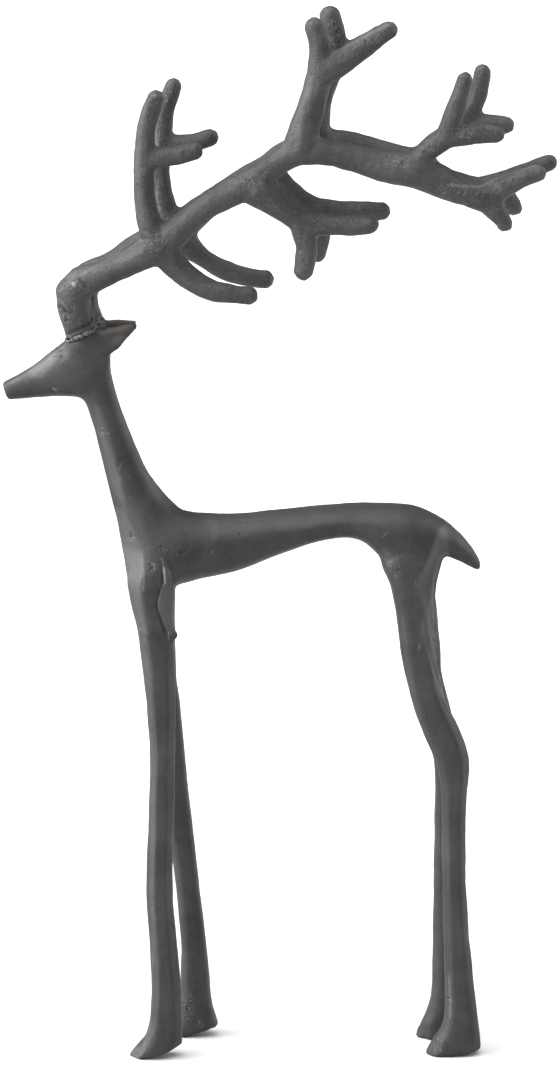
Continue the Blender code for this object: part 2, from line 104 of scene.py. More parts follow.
# Where places are seen in the photograph, in pixels
def photoPlace(points):
    forward, up = cameraAxes()
    away = points - np.array(cameraPlace())
    depth = away @ np.array(forward)
    width, height = view["picture"]
    across = width / 2 + view["focalPixels"] * away[:, 0] / depth
    return np.stack([across, height / 2 - view["focalPixels"] * (away @ np.array(up)) / depth], axis=1)


# Soft studio light round a pale floor

studio = {
    "ambient": 0.20,
    # soft boxes: the direction they stand in, cosines of their outer and inner edges, strength
    "boxes": [
        ((-0.40, -0.10, 0.90), 0.42, 0.98, 4.4),
        ((-0.97, -0.22, 0.12), 0.68, 0.97, 8.6),
        ((0.90, 0.25, 0.30), 0.78, 0.98, 3.6),
    ],
    "floorSize": 24.0,
    "floorGap": 0.2 * mm,  # below the soles
    "floorTone": (0.53, 0.53, 0.53),
    "floorRoughness": (0.9, 0.08),  # least, and what the clouds add
    "floorClouds": 3.0,
}


def setStudio():
    scene = bpy.context.scene
    scene.view_settings.view_transform = "Standard"
    world = bpy.data.worlds.new("paleStudio")
    scene.world = world
    world.use_nodes = True
    sky = Graph(world.node_tree, world.node_tree.nodes["Background"])
    toward = sky.add("ShaderNodeTexCoord", {}, {}, "Generated")
    light = studio["ambient"]
    for place, outer, inner, strength in studio["boxes"]:
        way = tuple(Vector(place).normalized())
        lean = sky.add("ShaderNodeVectorMath", {"operation": "DOT_PRODUCT"}, {0: toward, 1: way}, "Value")
        light = light + lean.step(outer, inner) * strength
    sky.shade({"Color": (1.0, 1.0, 1.0), "Strength": light})
    half = studio["floorSize"] / 2
    form = bmesh.new()
    corners = ((-half, -half), (half, -half), (half, half), (-half, half))
    form.faces.new([form.verts.new((x, y, 0)) for x, y in corners])
    mesh = bpy.data.meshes.new("paleFloor")
    form.to_mesh(mesh)
    form.free()
    floor = bpy.data.objects.new("paleFloor", mesh)
    floor.location.z = cadBox[0][2] - studio["floorGap"]
    scene.collection.objects.link(floor)
    paper = Finish("floorPaper")
    coords = paper.add("ShaderNodeTexCoord", {}, {}, "Object")
    least, more = studio["floorRoughness"]
    paper.shade({
        "Base Color": studio["floorTone"],
        "Roughness": least + paper.noise(coords, studio["floorClouds"]) * more,
        "Specular IOR Level": 0.0,
    })
    mesh.materials.append(paper.material)


# Shader values that can be calculated with

def plug(tree, socket, value):
    if isinstance(value, Sock):
        tree.links.new(value.socket, socket)
    elif isinstance(value, (tuple, list)) and len(value) == 3 and len(socket.default_value) == 4:
        socket.default_value = (*value, 1.0)
    else:
        socket.default_value = value


class Sock:
    def __init__(self, tree, socket):
        self.tree = tree
        self.socket = socket

    def maths(self, operation, *values):
        made = self.tree.nodes.new("ShaderNodeMath")
        made.operation = operation
        for socket, value in zip(made.inputs, values):
            plug(self.tree, socket, value)
        return Sock(self.tree, made.outputs[0])

    def __add__(self, other):
        return self.maths("ADD", self, other)

    def __radd__(self, other):
        return self.maths("ADD", other, self)

    def __sub__(self, other):
        return self.maths("SUBTRACT", self, other)

    def __rsub__(self, other):
        return self.maths("SUBTRACT", other, self)

    def __mul__(self, other):
        return self.maths("MULTIPLY", self, other)

    def __rmul__(self, other):
        return self.maths("MULTIPLY", other, self)

    def clamped(self):
        return self.maths("MAXIMUM", self.maths("MINIMUM", self, 1.0), 0.0)

    # 0 below low, 1 above high, a soft step between
    def step(self, low, high):
        made = self.tree.nodes.new("ShaderNodeMapRange")
        made.interpolation_type = "SMOOTHSTEP"
        values = {"Value": self, "From Min": low, "From Max": high, "To Min": 0.0, "To Max": 1.0}
        for name, value in values.items():
            plug(self.tree, made.inputs[name], value)
        return Sock(self.tree, made.outputs["Result"])


class Graph:
    def __init__(self, tree, shader):
        self.tree = tree
        self.shader = shader

    def add(self, kind, settings, values, out=0):
        made = self.tree.nodes.new(kind)
        for name, value in settings.items():
            setattr(made, name, value)
        for name, value in values.items():
            plug(self.tree, made.inputs[name], value)
        return Sock(self.tree, made.outputs[out])

    def noise(self, coords, scale, detail=3.0, roughness=0.5):
        values = {"Vector": coords, "Scale": scale, "Detail": detail, "Roughness": roughness}
        return self.add("ShaderNodeTexNoise", {}, values, 0)

    def scaled(self, coords, factors):
        return self.add("ShaderNodeVectorMath", {"operation": "MULTIPLY"}, {0: coords, 1: factors}, 0)

    def mix(self, share, first, second):
        return self.add("ShaderNodeMix", {"data_type": "RGBA"}, {0: share, 6: first, 7: second}, 2)

    def bump(self, height, distance, strength):
        values = {"Height": height, "Distance": distance, "Strength": strength}
        return self.add("ShaderNodeBump", {}, values, 0)

    def mark(self, name):
        return self.add("ShaderNodeAttribute", {"attribute_name": name}, {}, "Fac")

    def shade(self, values):
        for name, value in values.items():
            plug(self.tree, self.shader.inputs[name], value)


class Finish(Graph):
    def __init__(self, name):
        self.material = bpy.data.materials.new(name)
        self.material.use_nodes = True
        tree = self.material.node_tree
        super().__init__(tree, tree.nodes["Principled BSDF"])


# The dark patina on hand-finished cast aluminium, with painted highlights and painted shade in its colour

bodyTones = {
    # deep is also the painted shade, and worn also the painted highlight
    "deep": (0.016, 0.016, 0.018),
    "dark": (0.032, 0.032, 0.034),
    "light": (0.062, 0.062, 0.065),
    "worn": (0.25, 0.25, 0.255),
    "rust": (0.095, 0.075, 0.062),
    "relief": 0.25 * mm,
    "reliefStrength": 0.7,
    "metal": 0.85,
    "roughness": 0.43,
    "stipple": 0.06,  # flecks and dimples outside the rough patches
    # marks to a millimetre
    "clouds": 0.055,
    "smudges": 0.32,
    "grain": 1.7,
    "streaks": (2.4, 2.4, 0.16),
    "flecks": 0.85,
    "dimples": 0.73,
    "pits": 0.55,
    "pitPatches": 0.21,
}
antlerTones = {
    **bodyTones,
    "dark": (0.037, 0.037, 0.038),
    "light": (0.078, 0.077, 0.076),
    "relief": 0.45 * mm,
    "roughness": 0.44,
    "stipple": 0.30,
}
beadTones = {
    **bodyTones,
    "dark": (0.036, 0.036, 0.038),
    "light": (0.072, 0.072, 0.074),
    "stipple": 0.6,
}


def patinaAndPaintedLight(name, tones):
    coat = Finish(name)
    place = coat.add("ShaderNodeTexCoord", {}, {}, "Object")
    coords = coat.scaled(place, (1 / mm, 1 / mm, 1 / mm))
    clouds = coat.noise(coords, tones["clouds"]).step(0.32, 0.68)
    smudges = coat.noise(coords, tones["smudges"], 4.0, 0.6)
    grain = coat.noise(coords, tones["grain"], 5.0, 0.65)
    streaks = coat.noise(coat.scaled(coords, tones["streaks"]), 1.0, 3.0, 0.6)
    worn = coat.mark("edge").step(0.25, 0.95) * (0.25 + smudges)
    # painted light and shade: above zero a painted highlight in the worn tone, below zero painted shade in
    # the deep tone
    lit = coat.mark("lit")
    warm = coat.mark("warm")
    # painted shade in the hollows, which are also made rougher
    hollowShade = coat.mark("hollowShade").step(0.2, 0.9)
    rough = coat.mark("rough") + tones["stipple"]
    flecks = coat.noise(coords, tones["flecks"], 3.0, 0.6).step(0.55, 0.66) * rough
    dimples = coat.noise(coords, tones["dimples"], 3.0, 0.6).step(0.56, 0.66) * rough
    shade = (clouds * 0.4 + smudges * 0.7 + streaks * 0.5 + grain * 0.5 - 0.6).clamped()
    colour = coat.mix(shade, tones["dark"], tones["light"])
    # the worn tone on worn edges and flecks, and as painted highlights where the painted light mark is above
    # zero
    colour = coat.mix((worn * 0.5 + flecks * 0.30 + lit).clamped(), colour, tones["worn"])
    # the deep tone as painted shade in hollows and where the painted light mark is below zero, and in dimples
    colour = coat.mix((hollowShade * 0.8 + dimples * 0.5 - lit).clamped(), colour, tones["deep"])
    colour = coat.mix(warm.clamped(), colour, tones["rust"])
    roughness = tones["roughness"] + smudges * 0.16 + grain * 0.10 - worn * 0.10 + hollowShade * 0.15
    cells = {"Vector": coords, "Scale": tones["pits"], "Randomness": 1.0}
    pits = coat.add("ShaderNodeTexVoronoi", {}, cells, 0)
    pitDepth = (1 - pits.step(0.05, 0.22)) * coat.noise(coords, tones["pitPatches"], 2.0).step(0.50, 0.60)
    relief = grain * 0.7 + smudges * 1.1 + streaks * 0.5 - pitDepth * 1.4 + flecks * 0.7 - dimples * 1.1
    normal = coat.bump(relief, tones["relief"], tones["reliefStrength"])
    coat.shade({
        "Base Color": colour,
        "Metallic": tones["metal"],
        "Roughness": roughness.clamped(),
        "Normal": normal,
    })
    return coat.material


# Castings: a fine copy of each solid, worked over by hand

def fineCopy(node, name, grain):
    return remeshed(name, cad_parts[node].data.copy(), grain)


def remeshed(name, mesh, grain):
    piece = bpy.data.objects.new(name, mesh)
    bpy.context.scene.collection.objects.link(piece)
    cells = piece.modifiers.new("grain", "REMESH")
    cells.mode = "VOXEL"
    cells.voxel_size = grain
    soften = piece.modifiers.new("soften", "SMOOTH")
    soften.factor = 0.5
    soften.iterations = 2
    settle(piece)
    return piece


# Puts what the modifiers made in place of the mesh
def settle(piece):
    graph = bpy.context.evaluated_depsgraph_get()
    mesh = bpy.data.meshes.new_from_object(piece.evaluated_get(graph))
    piece.modifiers.clear()
    old = piece.data
    piece.data = mesh
    bpy.data.meshes.remove(old)


# Splits the faces round the given places, so that small marks can be cut there
def refine(piece, spots, times):
    form = bmesh.new()
    form.from_mesh(piece.data)
    for _ in range(times):
        centres = np.array([face.calc_center_median()[:] for face in form.faces])
        near = np.zeros(len(centres), bool)
        for place, reach in spots:
            near |= ((centres - np.array(place)) ** 2).sum(1) < reach**2
        form.faces.ensure_lookup_table()
        edges = {edge for i in np.flatnonzero(near) for edge in form.faces[i].edges}
        bmesh.ops.subdivide_edges(form, edges=list(edges), cuts=1, use_grid_fill=True)
    bmesh.ops.triangulate(form, faces=[face for face in form.faces if len(face.verts) > 4])
    form.to_mesh(piece.data)
    form.free()


# Cuts the corners of an outline twice, which rounds them
def rounded(outline):
    corners = np.array(outline, float)
    for _ in range(2):
        after = np.roll(corners, -1, axis=0)
        pairs = [0.75 * corners + 0.25 * after, 0.25 * corners + 0.75 * after]
        corners = np.stack(pairs, axis=1).reshape(-1, 2)
    return corners


def oval(x, y, wide, high):
    turns = [math.radians(30 * i) for i in range(12)]
    return [(x + wide * math.cos(turn), y + high * math.sin(turn)) for turn in turns]


# How far points lie from a path of straight runs
def pathGap(points, path):
    gap = np.full(len(points), 1e9)
    for a, b in zip(path[:-1], path[1:]):
        run = b - a
        share = np.clip(((points - a) @ run) / max(run @ run, 1e-12), 0, 1)
        gap = np.minimum(gap, np.linalg.norm(points - (a + share[:, None] * run), axis=1))
    return gap


touch = {
    # marks drawn on the photograph: least cosine to the camera, and reach past the middle plane
    "seen": 0.02,
    "overlap": 2.0 * mm,
    "stroke": 0.1,  # least cosine between a normal and a stroke's own
    # grinding: length of a slice of limb, slices averaged, waves of the hand and their depth
    "slice": 2.0 * mm,
    "average": 7,
    "waves": (11.0 * mm, 27.0 * mm),
    "waveDepth": 0.25,
    "edge": 0.22 * mm,  # rounding of the edge of a flat
    "run": 0.3 * mm,  # depth over which a flat runs out
    "relax": 0.6,  # share of the way to the neighbours' mean
}


# The points of a casting, as arrays that the finishing strokes move
class Skin:
    def __init__(self, piece):
        self.mesh = piece.data
        self.points = np.zeros(len(self.mesh.vertices) * 3)
        self.mesh.vertices.foreach_get("co", self.points)
        self.points = self.points.reshape(-1, 3)
        self.edges = np.zeros(len(self.mesh.edges) * 2, int)
        self.mesh.edges.foreach_get("vertices", self.edges)
        self.edges = self.edges.reshape(-1, 2)
        self.turn()

    def write(self):
        self.mesh.vertices.foreach_set("co", self.points.astype(np.float32).ravel())
        self.mesh.update()

    # Writes the points and reads the normals again
    def turn(self):
        self.write()
        self.normals = np.zeros(len(self.points) * 3)
        self.mesh.vertex_normals.foreach_get("vector", self.normals)
        self.normals = self.normals.reshape(-1, 3)
        toCamera = np.array(cameraPlace()) - self.points
        self.facing = (self.normals * toCamera).sum(1) / np.linalg.norm(toCamera, axis=1)

    def neighbours(self, values):
        first, second = self.edges.T
        total = np.zeros_like(values)
        np.add.at(total, first, values[second])
        np.add.at(total, second, values[first])
        count = np.maximum(np.bincount(self.edges.ravel(), minlength=len(self.points)), 1)
        return total / (count[:, None] if values.ndim > 1 else count)

    # Where a ray through a pixel of the photograph meets the casting. A miss is told, or else kept as None
    def hits(self, pixels, told=True):
        self.turn()
        corners = [Vector(point) for point in self.points]
        tree = BVHTree.FromPolygons(corners, [face.vertices for face in self.mesh.polygons])
        found = []
        for x, y in pixels:
            place, normal, _, _ = tree.ray_cast(cameraPlace(), photoRay(x, y))
            if place is not None:
                found.append((np.array(place), np.array(normal)))
            elif told:
                print("no casting under the pixel", x, y)
            else:
                found.append(None)
        return found

    # Grinds flats along an upright limb: the outermost sliver towards a direction comes off
    def grind(self, chosen, toward, stations):
        toward = np.array(toward, float)
        toward /= np.linalg.norm(toward)
        height = self.points[chosen, 2]
        reach = self.points[chosen] @ toward
        step, width = touch["slice"], touch["average"]
        level = ((height - height.min()) / step).astype(int)
        nothing = -9.0
        tops = np.full(level.max() + 1, nothing)
        np.maximum.at(tops, level, reach)
        filled = np.flatnonzero(tops > nothing)
        tops = np.interp(np.arange(len(tops)), filled, tops[filled])
        tops = np.convolve(np.pad(tops, width // 2, mode="edge"), np.ones(width) / width, mode="valid")
        limit = np.interp(height, height.min() + step * (np.arange(len(tops)) + 0.5), tops)
        depth = np.interp(height, *(np.array(stations).T * mm))
        short, long = touch["waves"]
        wave = 1 + touch["waveDepth"] * np.sin(height / short + 40 * toward[0]) * np.sin(height / long + 3)
        over = reach - (limit - depth * wave)
        over = 0.5 * (over + np.sqrt(over**2 + touch["edge"] ** 2))
        fade = np.clip(depth / touch["run"], 0, 1)
        self.points[chosen] -= (over * fade)[:, None] * toward

    # Raises or sinks the skin along a path: width and height in millimetres
    def stroke(self, path, width, height):
        places = np.array([place for place, _ in path])
        normal = np.mean([normal for _, normal in path], axis=0)
        low = np.min(places, axis=0) - 3 * width * mm
        high = np.max(places, axis=0) + 3 * width * mm
        near = np.flatnonzero(((self.points > low) & (self.points < high)).all(1))
        near = near[self.normals[near] @ normal > touch["stroke"]]
        gap = pathGap(self.points[near], places if len(places) > 1 else places.repeat(2, axis=0))
        amount = height * mm * np.exp(-((gap / (width * mm)) ** 2))
        self.points[near] += amount[:, None] * self.normals[near]

    # Draws the casting out round a place: reach and move in millimetres, and deep times the reach in depth
    def pull(self, hits, reach, move, deep):
        for place, _ in hits:
            gap = np.linalg.norm((self.points - place) / (1, deep, 1), axis=1)
            self.points += np.exp(-((gap / (reach * mm)) ** 2))[:, None] * np.array(move) * mm

    # Which points a mark on the photograph can reach: near flank -1, far flank 1
    def shown(self, flank=-1):
        return (self.facing > touch["seen"]) & (self.points[:, 1] * flank > -touch["overlap"])

    # How far inside an outline drawn on the photograph each point lies, 0 to 1
    def area(self, outline, soft, flank=-1):
        seen = photoPlace(self.points)
        corners = rounded(outline)
        low, high = corners.min(0) - soft, corners.max(0) + soft
        index = np.flatnonzero(((seen > low) & (seen < high)).all(1) & self.shown(flank))
        spots = seen[index]
        corners = np.vstack([corners, corners[:1]])
        gap = pathGap(spots, corners)
        within = np.zeros(len(index), bool)
        for a, b in zip(corners[:-1], corners[1:]):
            run = b - a
            crosses = (a[1] > spots[:, 1]) != (b[1] > spots[:, 1])
            level = a[0] + (spots[:, 1] - a[1]) * run[0] / (run[1] if run[1] else 1e-9)
            within ^= crosses & (spots[:, 0] < level)
        inside = np.clip(0.5 + np.where(within, gap, -gap) / soft, 0, 1)
        weight = np.zeros(len(self.points))
        weight[index] = inside * inside * (3 - 2 * inside)
        return weight

    # Lets the skin swell or sink inside an outline
    def swell(self, outline, soft, height):
        weight = self.area(outline, soft)
        self.points += (weight * height * mm)[:, None] * self.normals

    # Files the skin flat inside an outline
    def flatten(self, outline, soft, share, sink):
        weight = self.area(outline, soft)
        inner = weight > 0.5
        if inner.sum() < 4:
            print("nothing to file flat at", outline[0])
            return
        middle = self.points[inner].mean(0)
        spread = np.linalg.svd(self.points[inner] - middle, full_matrices=False)[2]
        normal = spread[2] * np.sign(spread[2] @ self.normals[inner].mean(0))
        over = (self.points - middle) @ normal + sink * mm
        self.points -= (weight * share * over)[:, None] * normal

    # Smooths the skin inside an outline
    def relax(self, outline, soft, rounds, flank=-1):
        weight = self.area(outline, soft, flank)[:, None]
        for _ in range(rounds):
            self.points += touch["relax"] * weight * (self.neighbours(self.points) - self.points)

    def mark(self, name, values):
        made = self.mesh.attributes.new(name, "FLOAT", "POINT")
        made.data.foreach_set("value", values.astype(np.float32))

    # Paints a named mark for the shader, inside outlines and along paths
    def paint(self, name, areas, lines=()):
        value = np.zeros(len(self.points))
        for outline, soft, amount, *flank in areas:
            value += self.area(outline, soft, *flank) * amount
        seen = photoPlace(self.points)
        for path, width, amount, *flank in lines:
            gap = pathGap(seen, np.array(path, float))
            value += amount * np.exp(-((gap / width) ** 2)) * self.shown(*flank)
        self.mark(name, value)

    # Uneven hand work over the whole skin: size and height in millimetres
    def unevenness(self, size, height, seed):
        shift = Vector((seed * 7.3, seed * 1.9, seed * 4.1))
        scale = 1 / (size * mm)
        values = np.array([noise.noise(Vector(point) * scale + shift) for point in self.points])
        self.points += (values * height * mm)[:, None] * self.normals

    def stayInBox(self):
        self.points = np.clip(self.points, np.array(cadBox[0]), np.array(cadBox[1]))

    # Marks convex edges for wear, and hollows for painted shade, for the shader
    def markEdges(self, grain, rounds):
        self.turn()
        inward = ((self.neighbours(self.points) - self.points) * self.normals).sum(1)
        bend = -inward / grain**2 * mm
        for _ in range(rounds):
            bend = 0.4 * bend + 0.6 * self.neighbours(bend)
        self.mark("edge", np.clip(bend * 4, 0, 2))
        self.mark("hollowShade", np.clip(-bend * 4, 0, 2))


def dress(piece, node, finish):
    piece.data.materials.clear()
    piece.data.materials.append(finish)
    piece.data.polygons.foreach_set("material_index", np.zeros(len(piece.data.polygons), int))
    piece.data.shade_smooth()
    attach(piece, "root")
    if node:
        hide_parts(node)


# Cuts clusters of pits and lumps, each as high as the dice say
def scatter(skin, clusters, dice, height):
    pixels = []
    for (x, y), spread, count, sizes in clusters:
        far = spread / 2
        pixels += [(x + dice.gauss(0, far), y + dice.gauss(0, far), sizes) for _ in range(count)]
    for hit, (_, _, sizes) in zip(skin.hits([spot[:2] for spot in pixels], False), pixels):
        if hit:
            skin.stroke([hit], dice.uniform(*sizes), height(dice))


def pullOut(skin, pulls):
    for _, at, reach, move, deep in pulls:
        skin.pull(skin.hits([at]), reach, move, deep)


# Leaves the marks that the shader reads
def markSkin(skin, work):
    skin.stayInBox()
    skin.markEdges(work["grain"], 2)
    # paints the painted light and shade, the warm tint and the rough patches
    for name in ("lit", "warm", "rough"):
        skin.paint(name, *work[name])


# The body casting

# the plate behind the near front leg, and the far rear toe, as outlines on the photograph
flap = [(160, 558), (166, 559), (170, 567), (173, 580), (174, 600), (176, 634), (169, 636), (164, 626),
        (160, 616), (157, 606), (158, 597), (163, 588), (163, 573)]
farRearToe = [(412, 1026), (422, 1020), (428, 1032), (424, 1044), (412, 1044)]

bodyWork = {
    "grain": 1.24 * mm,
    # where limbs are ground: front legs and chest, their lower part, neck, rear legs
    "frontPart": (-30, 328),
    "frontLegPart": (-20, 230),
    "neckPart": (-40, 284, 342),
    "rearLegPart": (30, 240),
    # flats ground along the limbs: heights and depths in millimetres
    "frontFlat": [(8, 0.7), (30, 1.0), (150, 1.1), (200, 1.3), (228, 2.0), (250, 2.4), (280, 2.2), (305, 1.4),
                  (318, 0.7), (326, 0.0)],
    "legBackFlat": [(6, 0.3), (30, 0.9), (150, 1.1), (200, 0.9), (226, 0.0)],
    "legSideFlat": [(4, 0.2), (30, 0.35), (200, 0.35), (235, 0.0)],
    "neckBackFlat": [(284, 0.0), (300, 0.12), (325, 0.18), (340, 0.0)],
    "rearFrontFlat": [(6, 0.5), (30, 0.8), (140, 0.8), (200, 0.7), (235, 0.0)],
    "rearBackFlat": [(6, 0.3), (60, 0.5), (140, 0.6), (175, 0.9), (215, 1.1), (230, 0.5), (238, 0.0)],
    # creases and ridges: pixels, width and height in millimetres
    "strokes": [
        ("crease", [(161.5, 561), (162.5, 572), (163, 584)], 0.5, -0.7),
        ("flapEdge", [(160, 590), (157, 606), (161, 620), (165, 633)], 0.5, -0.55),
        ("chestDent", [(131, 533), (134, 538)], 1.0, -0.45),
        ("legStep", [(140, 631), (150, 634), (158, 640)], 1.4, 0.35),
        ("rumpScratch", [(384, 537), (387, 533)], 0.5, 0.15),
        ("thighHollow", [(433, 640), (439, 668), (446, 700)], 1.2, -0.4),
        ("jawLine", [(30, 393), (58, 391), (76, 393)], 0.8, -0.25),
        ("jawNick", [(52, 390), (55, 391)], 0.6, -0.35),
        ("neckScratch", [(120, 468), (123, 462)], 0.5, 0.15),
        ("toeEdge", [(153, 967), (150, 1027), (144, 1043), (140, 1056)], 0.9, 0.2),
    ],
    # places drawn out: pixel, reach and move in millimetres
    "pulls": [
        ("nearEarTip", (131, 328), 4.0, (1.6, 0, 1.9), 1),
        ("farEarTip", (131, 321.5), 3.5, (0.8, 0, -0.3), 1),
        ("knob", (172.8, 635), 2.6, (2.3, -0.2, 0), 1.3),
    ],
    # outlines on the photograph: softness in pixels, height in millimetres
    "swells": [
        ("flap", flap, 2.0, 0.6),
        ("rump", [(446, 522), (458, 545), (449, 560), (446, 600), (452, 650), (460, 712), (450, 706),
                  (443, 684), (436, 655), (431, 630), (424, 605), (420, 590), (421, 579), (430, 561),
                  (436, 546)], 9.0, -1.1),
    ],
    # outlines to smooth before the grinding: softness in pixels, rounds, flank
    "smooth": [
        ("crown", [(66, 340), (88, 334), (101, 338), (110, 348), (104, 362), (82, 366), (66, 354)], 6.0, 40),
        ("shoulder", [(116, 490), (150, 480), (205, 500), (215, 540), (180, 562), (150, 570), (124, 560)],
         18.0, 140),
        ("thigh", [(378, 540), (392, 545), (398, 575), (404, 600), (390, 600), (382, 570)], 6.0, 20),
        ("farRearToe", farRearToe, 5.0, 30, 1),
    ],
    # and after it
    "smoothLast": [
        ("farRearToe", farRearToe, 5.0, 30, 1),
    ],
    # outlines to file flat: softness in pixels, share, sink in millimetres
    "flats": [
        ("frontToe", [(146, 1036), (150, 1038), (143, 1062), (128, 1062), (134, 1046)], 5.0, 0.4, 0.1),
        ("rearToe", [(436, 1032), (446, 1034), (444, 1057), (428, 1056), (430, 1044)], 4.0, 0.4, 0.1),
    ],
    # painted highlights and painted shade in pixels: outlines with softness and strength, paths with width
    # and strength
    "lit": (
        [
            ([(30, 362), (50, 350), (58, 353), (51, 368), (42, 378), (28, 376)], 9.0, 0.16),  # muzzle
            ([(80, 385), (106, 360), (114, 385), (112, 405), (92, 402)], 9.0, -0.08),  # throat
            ([(60, 350), (88, 338), (104, 347), (98, 368), (62, 386), (32, 386)], 12.0, 0.025),
            ([(93, 405), (101, 405), (113, 450), (128, 500), (118, 503), (104, 455)], 6.0, 0.10),  # neck
            ([(106, 405), (113, 404), (128, 450), (150, 495), (138, 505), (122, 470)], 8.0, -0.07),
            ([(112, 505), (122, 508), (134, 530), (143, 556), (145, 576), (142, 595), (146, 620), (149, 645),
              (135, 645), (128, 605), (120, 565)], 3.0, 0.10),  # chest
            ([(148, 500), (172, 500), (205, 512), (214, 545), (185, 568), (150, 564), (146, 545)],
             12.0, -0.34),  # shoulder
            ([(147, 575), (161, 564), (156, 606), (160, 640), (168, 700), (160, 700), (152, 640), (146, 600)],
             4.0, -0.12),  # beside the plate
            ([(190, 545), (260, 530), (320, 518), (365, 516), (380, 540), (370, 545), (330, 545), (270, 560),
              (215, 575), (180, 570)], 22.0, -0.21),  # belly
            ([(375, 522), (420, 520), (438, 528), (425, 560), (414, 580), (414, 600), (418, 640), (412, 640),
              (403, 600), (394, 585), (392, 548), (378, 540)], 8.0, -0.22),  # haunch
            ([(139, 645), (146, 645), (152, 700), (155, 800), (156, 900), (155, 965), (151, 965), (150, 900),
              (149, 800), (145, 700)], 2.5, 0.07),  # fronts of the near legs
            ([(399, 600), (404, 600), (411, 680), (429, 745), (437, 800), (436, 900), (433, 900), (433, 800),
              (423, 750), (405, 680)], 4.0, 0.045),
            ([(440, 524), (450, 528), (452, 546), (440, 566), (434, 584), (434, 602), (437, 625), (440, 660),
              (432, 664), (427, 652), (419, 638), (419, 626), (424, 614), (421, 602), (416, 590), (417, 578),
              (424, 566), (427, 554), (434, 540)], 5.0, 0.05),  # rump
            ([(441, 526), (447, 530), (446, 544), (436, 557), (430, 570), (427, 586), (427, 602), (430, 620),
              (428, 640), (431, 655), (421, 636), (421, 628), (425, 614), (422, 602), (417, 590), (418, 578),
              (425, 566), (428, 554), (435, 540)], 3.0, 0.06),
            ([(448, 530), (462, 540), (480, 566), (476, 568), (456, 560), (449, 552)], 3.0, -0.08),  # tail
            ([(378, 545), (392, 548), (400, 556), (396, 570), (388, 572), (380, 560)], 7.0, 0.05),  # thigh
            ([(136, 1044), (141, 1046), (139, 1060), (131, 1060), (131, 1050)], 4.0, 0.08),  # toe
            ([(112, 337), (120, 334), (126, 336), (118, 346), (112, 344)], 4.0, 0.12),  # ear
            (flap, 3.0, 0.13),
            ([(107, 318), (136, 320), (137, 325), (108, 325)], 1.5, 0.16, 1),  # far ear
        ],
        # painted highlight lines and painted shade lines along paths: width and strength
        [
            ([(10, 383), (30, 371), (48, 359), (62, 347), (70, 339)], 1.6, 0.12),
            ([(164, 568), (164.8, 576), (165.3, 583)], 0.7, 0.8),
            ([(143.5, 570), (144, 580), (143, 590)], 1.0, 0.2),
            ([(383, 537), (388, 533)], 0.9, 0.35),
            ([(388, 563), (397, 558), (405, 555)], 1.6, 0.12),
            ([(390, 567), (394, 557)], 1.6, 0.10),
            ([(395, 575), (396, 578)], 1.2, 0.35),
            ([(415, 583), (416, 585)], 0.9, 0.30),
            ([(419, 645), (419, 649)], 1.6, 0.12),
            ([(428, 650), (431, 664), (436, 680), (444, 698)], 1.2, 0.18),
            ([(159, 548), (166, 549)], 1.0, 0.25),
            ([(171, 547), (173, 548)], 1.0, 0.3),
            ([(152, 563), (154, 565)], 1.0, 0.35),
            ([(119, 470), (123, 463)], 1.0, 0.15),
            ([(53, 389), (56, 390)], 0.9, 0.6),
            ([(12, 397), (40, 393), (52, 391), (78, 393)], 0.8, -0.25),
            ([(210, 552), (212, 551)], 1.1, 0.30),
            ([(168.5, 632), (168.8, 640)], 0.6, 0.35),
            ([(449, 976), (450, 998), (450, 1018)], 1.0, 0.2),
            ([(163, 575), (162, 588), (157, 600), (157, 608), (161, 620), (166, 633)], 1.1, -0.4),
            ([(108, 319.5), (124, 320), (137, 323)], 1.0, 0.2, 1),
            ([(152.5, 955), (153, 1000), (150, 1028), (144.5, 1042), (140, 1056)], 0.9, 0.07),
            ([(199, 1021), (199.5, 1023)], 0.9, 0.35, 1),
        ],
    ),
    "warm": (
        [
            ([(107, 324), (120, 323), (136, 325), (126, 333), (113, 333), (107, 329)], 2.5, 0.45),
            ([(107, 318), (137, 320), (137, 326), (108, 326)], 2.0, 0.4, 1),
        ],
        [],
    ),
    # rough patches of the cast skin: outlines with softness and strength
    "rough": (
        [
            (oval(187, 1005, 8, 15), 4.0, 0.8, 1),
            (oval(200, 1022, 5, 6), 3.0, 0.8, 1),
            (oval(163, 549, 9, 4), 3.0, 0.7),
            (oval(180, 551, 12, 7), 4.0, 0.45),
            (oval(131, 536, 7, 7), 3.0, 0.7),
            (oval(152, 566, 6, 6), 3.0, 0.8),
            (oval(137, 1050, 6, 7), 3.0, 0.8),
            (oval(437, 1045, 10, 12), 4.0, 0.6),
            (oval(450, 998, 3, 24), 3.0, 0.6),
            (oval(392, 563, 14, 13), 5.0, 0.18),
            (oval(60, 353, 8, 7), 4.0, 0.5),
            (oval(99, 430, 7, 22), 5.0, 0.35),
            (oval(86, 330, 14, 6), 4.0, 0.7),
        ],
        [],
    ),
    # size and height of the hand's unevenness in millimetres
    "unevenness": [(14.0, 0.30), (5.0, 0.10)],
    # clusters of casting pits: pixel, spread in pixels, count, size range in millimetres
    "pitDepth": (0.25, 0.5),
    "pits": [
        ((163, 548), 5, 4, (0.5, 0.8)),
        ((181, 552), 6, 5, (0.4, 0.7)),
        ((211, 552), 3, 2, (0.5, 0.8)),
        ((152, 566), 4, 5, (0.5, 0.9)),
        ((132, 536), 4, 5, (0.4, 0.8)),
        ((240, 528), 9, 4, (0.4, 0.6)),
        ((396, 566), 9, 3, (0.4, 0.6)),
        ((415, 584), 3, 2, (0.5, 0.7)),
        ((419, 647), 3, 3, (0.4, 0.7)),
        ((58, 355), 5, 4, (0.4, 0.7)),
        ((100, 430), 8, 6, (0.4, 0.7)),
        ((152, 905), 5, 5, (0.3, 0.6)),
        ((187, 1005), 8, 7, (0.4, 0.6)),
        ((195, 985), 4, 4, (0.4, 0.7)),
        ((449, 998), 3, 7, (0.4, 0.7)),
    ],
}


